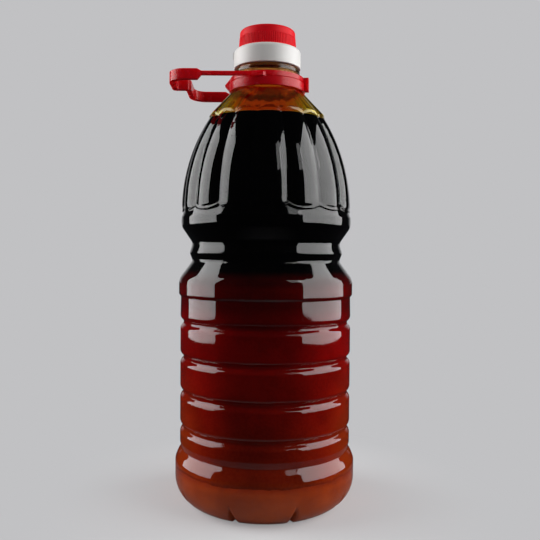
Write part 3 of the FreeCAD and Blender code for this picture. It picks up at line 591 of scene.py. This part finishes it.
# %% The clear shell
SCALLOPS = (180, 190)
ARCHES = (238, 248)
LOBE_RUNS = (189, 239)
NOTCHED = (0, 12)


def finely_divided(line, fine, coarse):
    """Close rings at the scallops and the arches, wider ones up the dome."""
    line = divided(line, fine, *SCALLOPS)
    line = divided(line, fine, *ARCHES)
    return divided(line, coarse, *LOBE_RUNS)


outside_fine = divided(finely_divided(outside_line, 0.35, 1.2), 0.6, *NOTCHED)
inside_fine = divided(finely_divided(inside_line, 0.6, 2.0), 1.0, *NOTCHED)
insets = [0] * len(outside_fine) + [WALL] * len(inside_fine)
shell_mesh = turned_mesh("bottle_shell", outside_fine + inside_fine, insets)
place_piece("bottle_shell", shell_mesh, "bottle")

# %% [markdown]
# What fills a clear bottle must touch its wall. If a gap of air were left, the contents would
# look like a smaller body hanging in the bottle. So the oil and the fat reach a little way into
# the wall, and the line between them wanders a little, as fat doesn't set along a ruled line.

# %% The oil and the fat that has settled under it
INTO_WALL = 0.35
FAT_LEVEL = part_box("settled_fat")[1].z / MM
OIL_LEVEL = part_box("oil")[1].z / MM
LAYER_WANDER = 1.1    # how far the line between the layers strays, in millimetres
WANDER_REACH = 5.0    # points within this height of it move with it
WANDER_SIZE = 14      # size of the slow waves along it
LEVEL_GAP = 0.1       # no ring this close to a level, or its faces would be slivers


def wandering(point):
    """Lift or lower points near the fat's level by a slow noise round the bottle."""
    away = abs(point.z / MM - FAT_LEVEL)
    if away > WANDER_REACH:
        return point
    place = Vector((point.x, point.y, 0)) / (WANDER_SIZE * MM)
    lift = noise.noise(place) + 0.5 * noise.noise(place * 2.7)
    share = 1 - away / WANDER_REACH
    return point + Vector((0, 0, lift * LAYER_WANDER * share * MM))


filling_inset = WALL - INTO_WALL
filling_corners = body_corners(filling_inset)
filling_corners.append((crest(DOME_END) - filling_inset, DOME_END, 0))
filling_line = finely_divided(rounded(filling_corners), 0.6, 2.0)


def layer_line(low, high):
    """The part of the filling's outline between two levels, closed to the axis."""
    inside = [spot for spot in filling_line if low + LEVEL_GAP < spot.y < high - LEVEL_GAP]
    edges = []
    for level in (low, high):
        for start, end in zip(filling_line, filling_line[1:]):
            if start.y <= level < end.y:
                edges.append(start.lerp(end, (level - start.y) / (end.y - start.y)))
    if low > 0:
        return [Vector((0, low)), edges[0]] + inside + [edges[-1], Vector((0, high))]
    return inside + [edges[-1], Vector((0, high))]


oil_line = layer_line(FAT_LEVEL, OIL_LEVEL)
oil_mesh = turned_mesh("palm_oil", oil_line, [filling_inset] * len(oil_line), wandering)
place_piece("palm_oil", oil_mesh, "oil")
fat_line = layer_line(0, FAT_LEVEL)
fat_mesh = turned_mesh("fat_layer", fat_line, [filling_inset] * len(fat_line), wandering)
place_piece("fat_layer", fat_mesh, "settled_fat")

# %% [markdown]
# Cloudy oil and set fat are never one even colour: slow clouds and fine grains show through
# the wall. Both layers and the thin film of oil above them use the same effect, so it is a
# shader node group, built once and placed in each material with its own sizes.

# %% A group for clouds and grains
def group_socket(group, name, direction, value=None):
    """A named number going into a group or out of it."""
    made = group.interface.new_socket(name=name, in_out=direction, socket_type="NodeSocketFloat")
    if value is not None:
        made.default_value = value


def clouds_and_grains():
    """Masks from 0 to 1: slow clouds, and fine grains, in object space."""
    group = bpy.data.node_groups.new("clouds_and_grains", "ShaderNodeTree")
    group_socket(group, "Cloud Size", "INPUT", value=0.02)
    group_socket(group, "Grain Size", "INPUT", value=0.0012)
    group_socket(group, "Clouds", "OUTPUT")
    group_socket(group, "Grains", "OUTPUT")
    start = add_node(group, "NodeGroupInput")
    end = add_node(group, "NodeGroupOutput")
    place = add_node(group, "ShaderNodeTexCoord")
    for size, mask, detail in (("Cloud Size", "Clouds", 3.0), ("Grain Size", "Grains", 1.0)):
        scale = math_node(group, "DIVIDE", 1.0, start.outputs[size])
        texture = add_node(group, "ShaderNodeTexNoise")
        group.links.new(place.outputs["Object"], texture.inputs["Vector"])
        group.links.new(scale, texture.inputs["Scale"])
        texture.inputs["Detail"].default_value = detail
        spread = map_range(group, texture.outputs["Fac"], 0.32, 0.68)
        group.links.new(spread, end.inputs[mask])
    return group


CLOUDS = clouds_and_grains()
print("group:", CLOUDS.name, [item.name for item in CLOUDS.interface.items_tree])

# %% [markdown]
# The layers differ from the bottom to the top of the bottle, and from its middle to its sides.
# A material can follow that through its object's own coordinates: Z is the height, and X the
# distance to the side. They belong to the object, so the colours stay in place when it is seen
# from elsewhere.

# %% Helpers for the materials
def new_material(name):
    """A material with one Principled BSDF. Returns it with its tree and its shader."""
    material = bpy.data.materials.new(name)
    material.use_nodes = True
    tree = material.node_tree
    return material, tree, tree.nodes["Principled BSDF"]


def use_group(tree, group, **values):
    """A group placed in a tree, with its own values."""
    node = add_node(tree, "ShaderNodeGroup")
    node.node_tree = group
    return set_sockets(node, **values)


def along(tree, axis):
    """Where a surface point is along one of its object's axes, in metres."""
    place = add_node(tree, "ShaderNodeTexCoord")
    parts = add_node(tree, "ShaderNodeSeparateXYZ")
    tree.links.new(place.outputs["Object"], parts.inputs[0])
    return parts.outputs[axis]


def colour_by_height(tree, height, low, high, stops):
    """A colour ramp up the bottle. Each stop is (height in mm, colour)."""
    share = map_range(tree, height, low * MM, high * MM, smooth=False)
    ramp = add_node(tree, "ShaderNodeValToRGB")
    ramp.color_ramp.interpolation = "EASE"
    elements = ramp.color_ramp.elements
    while len(elements) < len(stops):
        elements.new(0.5)
    for element, (level, colour) in zip(elements, stops):
        element.position = (level - low) / (high - low)
        element.color = (*colour, 1)
    tree.links.new(share, ramp.inputs["Fac"])
    return ramp.outputs["Color"]


def varied(tree, tone, masks, cloud_tones, grain_tones):
    """A colour made paler and darker by the clouds and grains. Tones are (dark, pale)."""
    for mask, (dark, pale) in (("Clouds", cloud_tones), ("Grains", grain_tones)):
        change = mix_colours(tree, masks.outputs[mask], (*dark, 1), (*pale, 1))
        tone = mix_colours(tree, 1.0, tone, change, "MULTIPLY")
    return tone


print("helpers: new_material, use_group, along, colour_by_height, varied")

# %% [markdown]
# Palm oil separates as it stands. The top is a clear oil, so deep here that hardly any light
# comes back out of it, and it looks black. Below the waist it is cloudy: fine crystals throw
# red light back. A ramp up the bottle sets how much comes back, and between 127 and 141 mm it
# rises again, as painted light on the shoulder ring's upturned top, where light falls from
# above. The oil has no gloss of its own, because it wets the wall and there is no air between
# them to make a mirror. Its colour is also painted lighter towards the sides, as painted light
# from the side lamps, and low down the sides are painted browner, a painted glow of light
# coming through the oil's thin edges.

# %% The oil's material
# The colour of the painted glow on the oil's lower sides, standing in for light through its thin
# edges.
PAINTED_EDGE_GLOW = (0.270, 0.030, 0.003, 1)
OIL_RAMP = (24, 240)  # heights of the ramp's ends in millimetres, and below, of each colour
OIL_STOPS_WITH_PAINTED_LIGHT = [
    (24, (0.235, 0.0200, 0.0028)),
    (29, (0.175, 0.0105, 0.0022)),
    (40, (0.160, 0.0066, 0.0016)),
    (70, (0.155, 0.0028, 0.0010)),
    (108, (0.150, 0.0010, 0.0009)),
    (118, (0.110, 0.0008, 0.0008)),
    # Painted light: from 127 to 141 mm the ramp rises again, lighting the shoulder ring's
    # upturned top as if from above.
    (127, (0.062, 0.0007, 0.0007)),
    (136, (0.070, 0.0009, 0.0009)),
    (141, (0.030, 0.0009, 0.0009)),
    (147, (0.0006, 0.0004, 0.0005)),
]

oil_material, tree, shader = new_material("dark_red_oil")
height = along(tree, "Z")
aside = math_node(tree, "ABSOLUTE", along(tree, "X"))
red = colour_by_height(tree, height, *OIL_RAMP, OIL_STOPS_WITH_PAINTED_LIGHT)
masks = use_group(tree, CLOUDS, Cloud_Size=0.022, Grain_Size=0.0014)
tone = varied(tree, red, masks, ((0.82, 0.82, 0.82), (1.14, 1.14, 1.14)),
              ((0.93, 0.9, 0.9), (1.07, 1.2, 1.2)))
# Painted light: the colour is made lighter towards the sides, standing in for the side lamps'
# light.
painted_side_light = map_range(tree, aside, 0.008, 0.050, 0.80, 1.45)
tone = mix_colours(tree, 1.0, tone, painted_side_light, "MULTIPLY")
# Painted glow: low down, the sides are painted browner, standing in for light coming through the
# oil's thin edges.
low_down = map_range(tree, height, 0.034, 0.095, 1.0, 0.0)
out_wide = map_range(tree, aside, 0.032, 0.054, 0.0, 0.75)
painted_edge_glow_share = math_node(tree, "MULTIPLY", low_down, out_wide)
tone = mix_colours(tree, painted_edge_glow_share, tone, PAINTED_EDGE_GLOW)
tree.links.new(tone, shader.inputs["Base Color"])
set_sockets(shader, Roughness=0.9, Specular_IOR_Level=0.0)
oil_mesh.materials.append(oil_material)
print("oil:", len(OIL_STOPS_WITH_PAINTED_LIGHT), "stops up the bottle")

# %% [markdown]
# The fat at the bottom is opaque and orange-brown, like cold gravy. Where it meets the oil it
# is still soft and soaked, so it is redder and darker there.

# %% The fat's material
FAT_RAMP = (0, 24)
FAT_STOPS = [
    (0, (0.330, 0.046, 0.004)),
    (12, (0.330, 0.043, 0.004)),
    (20, (0.310, 0.036, 0.003)),
    (24, (0.260, 0.022, 0.003)),
]

fat_material, tree, shader = new_material("settled_fat")
brown = colour_by_height(tree, along(tree, "Z"), *FAT_RAMP, FAT_STOPS)
masks = use_group(tree, CLOUDS, Cloud_Size=0.015, Grain_Size=0.0010)
tone = varied(tree, brown, masks, ((0.84, 0.80, 0.8), (1.12, 1.14, 1.14)),
              ((0.96, 0.95, 0.95), (1.04, 1.08, 1.08)))
tree.links.new(tone, shader.inputs["Base Color"])
set_sockets(shader, Roughness=0.9, Specular_IOR_Level=0.0)
fat_mesh.materials.append(fat_material)
print("fat:", len(FAT_STOPS), "stops up the layer")

# %% [markdown]
# The wall is clear plastic with a refractive index near 1.57. Above the oil a film of oil
# clings to it, and each pass of light through a wall takes out the blue and some green. Below
# the handle's ring the film is painted redder in the middle: a painted glow of the lit red ring
# seen through the cone. A glass shader blocks the light of lamps, so for shadow rays and matt
# bounces the wall is simply see-through. That lights the contents as a real clear wall would.

# %% Tints of the clear wall
PLASTIC_INDEX = 1.57
FILM_COLOUR = (0.58, 0.47, 0.035, 1)
FILM_STREAK = (0.62, 0.36, 0.03, 1)
# The colour of the painted glow of the lit red ring, seen through the cone.
PAINTED_RING_GLOW = (0.62, 0.10, 0.02, 1)
NECK_COLOUR = (0.86, 0.55, 0.22, 1)
CLEAR_COLOUR = (0.97, 0.97, 0.97, 1)
NECK_EDGE = 262.0     # height where the film ends, and half the width of both changes
TINT_FADE = 0.5
OIL_FADE = 0.4

wall_material, tree, shader = new_material("clear_wall")
height = along(tree, "Z")
aside = math_node(tree, "ABSOLUTE", along(tree, "X"))
masks = use_group(tree, CLOUDS, Cloud_Size=0.016, Grain_Size=0.002)
film = mix_colours(tree, masks.outputs["Clouds"], FILM_COLOUR, FILM_STREAK)
# Painted glow: the film is made redder near the middle, standing in for the lit red ring seen
# through the cone.
painted_glow_share = map_range(tree, aside, 0.010, 0.026, 0.75, 0.0)
film = mix_colours(tree, painted_glow_share, film, PAINTED_RING_GLOW)
neck_share = map_range(tree, height, (NECK_EDGE - TINT_FADE) * MM, (NECK_EDGE + TINT_FADE) * MM)
film = mix_colours(tree, neck_share, film, NECK_COLOUR)
above_oil = map_range(tree, height, (OIL_LEVEL - OIL_FADE) * MM, (OIL_LEVEL + OIL_FADE) * MM)
wall_colour = mix_colours(tree, above_oil, CLEAR_COLOUR, film)
tree.links.new(wall_colour, shader.inputs["Base Color"])
print("film ends at", NECK_EDGE, "mm and starts at", round(OIL_LEVEL, 1), "mm")

# %% [markdown]
# A blown wall is never quite even, and its highlights waver a little. A slow noise through a
# Bump node does that without changing the outline. The see-through shader for shadow rays and
# matt bounces, with the same tint, is mixed in last.

# %% The clear wall's surface
set_sockets(shader, Roughness=0.05, IOR=PLASTIC_INDEX, Transmission_Weight=1.0)
unevenness = add_node(tree, "ShaderNodeTexNoise")
place = add_node(tree, "ShaderNodeTexCoord")
tree.links.new(place.outputs["Object"], unevenness.inputs["Vector"])
set_sockets(unevenness, Scale=38.0, Detail=1.0)
bump = add_node(tree, "ShaderNodeBump")
set_sockets(bump, Strength=0.4, Distance=0.00015)
tree.links.new(unevenness.outputs["Fac"], bump.inputs["Height"])
tree.links.new(bump.outputs["Normal"], shader.inputs["Normal"])

see_through = add_node(tree, "ShaderNodeBsdfTransparent")
tree.links.new(wall_colour, see_through.inputs["Color"])
rays = add_node(tree, "ShaderNodeLightPath")
unseen = math_node(tree, "MAXIMUM", rays.outputs["Is Shadow Ray"], rays.outputs["Is Diffuse Ray"])
wall_mix = add_node(tree, "ShaderNodeMixShader")
tree.links.new(unseen, wall_mix.inputs[0])
tree.links.new(shader.outputs[0], wall_mix.inputs[1])
tree.links.new(see_through.outputs[0], wall_mix.inputs[2])
tree.links.new(wall_mix.outputs[0], tree.nodes["Material Output"].inputs["Surface"])
shell_mesh.materials.append(wall_material)
print("wall: index", PLASTIC_INDEX)

# %% [markdown]
# The cap, the handle and the collar are moulded. Moulded plastic has a very fine skin, like
# orange peel, and picks up dull rubbed patches in use. One group makes both, and each of the
# three materials sets how coarse the skin is and how dull the rubbed patches are.

# %% A group for moulded plastic
def moulded_skin():
    """A height for the skin, and a mask of rubbed patches."""
    group = bpy.data.node_groups.new("moulded_skin", "ShaderNodeTree")
    group_socket(group, "Skin Size", "INPUT", value=0.0006)
    group_socket(group, "Patch Size", "INPUT", value=0.008)
    group_socket(group, "Skin Height", "OUTPUT")
    group_socket(group, "Rubbed", "OUTPUT")
    start = add_node(group, "NodeGroupInput")
    end = add_node(group, "NodeGroupOutput")
    place = add_node(group, "ShaderNodeTexCoord")
    for size, output, low, high in (("Skin Size", "Skin Height", 0.2, 0.8),
                                    ("Patch Size", "Rubbed", 0.45, 0.75)):
        scale = math_node(group, "DIVIDE", 1.0, start.outputs[size])
        texture = add_node(group, "ShaderNodeTexNoise")
        group.links.new(place.outputs["Object"], texture.inputs["Vector"])
        group.links.new(scale, texture.inputs["Scale"])
        texture.inputs["Detail"].default_value = 2.0
        group.links.new(map_range(group, texture.outputs["Fac"], low, high), end.inputs[output])
    return group


SKIN = moulded_skin()
print("group:", SKIN.name, [item.name for item in SKIN.interface.items_tree])

# %% [markdown]
# Red plastic isn't quite opaque. Light wanders a little way into it and comes out redder,
# which keeps the thin arms of the handle from going black in the shade. Subsurface scattering
# is that effect. The cap is thicker and more matt, and the collar is a dense white.

# %% Three moulded plastics
GLOW_REACH = (1.0, 0.12, 0.10)


def moulded_material(name, colour, rubbed_colour, roughness, rubbed_roughness, skin, gloss, glow):
    """Moulded plastic in one colour, glossy or satin.

    skin is the size of its finest bumps in metres, gloss how much it mirrors, and glow how much
    light wanders inside.
    """
    material, tree, shader = new_material(name)
    effect = use_group(tree, SKIN, Skin_Size=skin, Patch_Size=0.007)
    rubbed = effect.outputs["Rubbed"]
    tone = mix_colours(tree, rubbed, (*colour, 1), (*rubbed_colour, 1))
    tree.links.new(tone, shader.inputs["Base Color"])
    satin = map_range(tree, rubbed, 0, 1, roughness, rubbed_roughness)
    tree.links.new(satin, shader.inputs["Roughness"])
    bump = add_node(tree, "ShaderNodeBump")
    set_sockets(bump, Strength=0.25, Distance=0.00005)
    tree.links.new(effect.outputs["Skin Height"], bump.inputs["Height"])
    tree.links.new(bump.outputs["Normal"], shader.inputs["Normal"])
    set_sockets(shader, IOR=1.49, Specular_IOR_Level=gloss, Subsurface_Weight=glow,
                Subsurface_Scale=0.012, Subsurface_Radius=GLOW_REACH)
    return material


RED = (0.82, 0.0055, 0.014)
RUBBED_RED = (0.85, 0.010, 0.020)
HANDLE_RED = (0.60, 0.0040, 0.011)
RUBBED_HANDLE = (0.64, 0.0080, 0.017)
WHITE = (0.84, 0.825, 0.805)
RUBBED_WHITE = (0.85, 0.83, 0.80)
cap_material = moulded_material(
    "red_cap_plastic", RED, RUBBED_RED, roughness=0.42, rubbed_roughness=0.50,
    skin=0.0007, gloss=0.12, glow=0.1)
handle_material = moulded_material(
    "red_handle_plastic", HANDLE_RED, RUBBED_HANDLE, roughness=0.24, rubbed_roughness=0.34,
    skin=0.0009, gloss=0.40, glow=0.6)
collar_material = moulded_material(
    "white_collar_plastic", WHITE, RUBBED_WHITE, roughness=0.38, rubbed_roughness=0.46,
    skin=0.0007, gloss=0.5, glow=0.0)
for name, material in (("screw_cap", cap_material), ("carry_handle", handle_material),
                       ("collar", collar_material)):
    node_mesh = nodes[name].data
    node_mesh.materials.clear()
    node_mesh.materials.append(material)
    print(name, "is now", material.name)
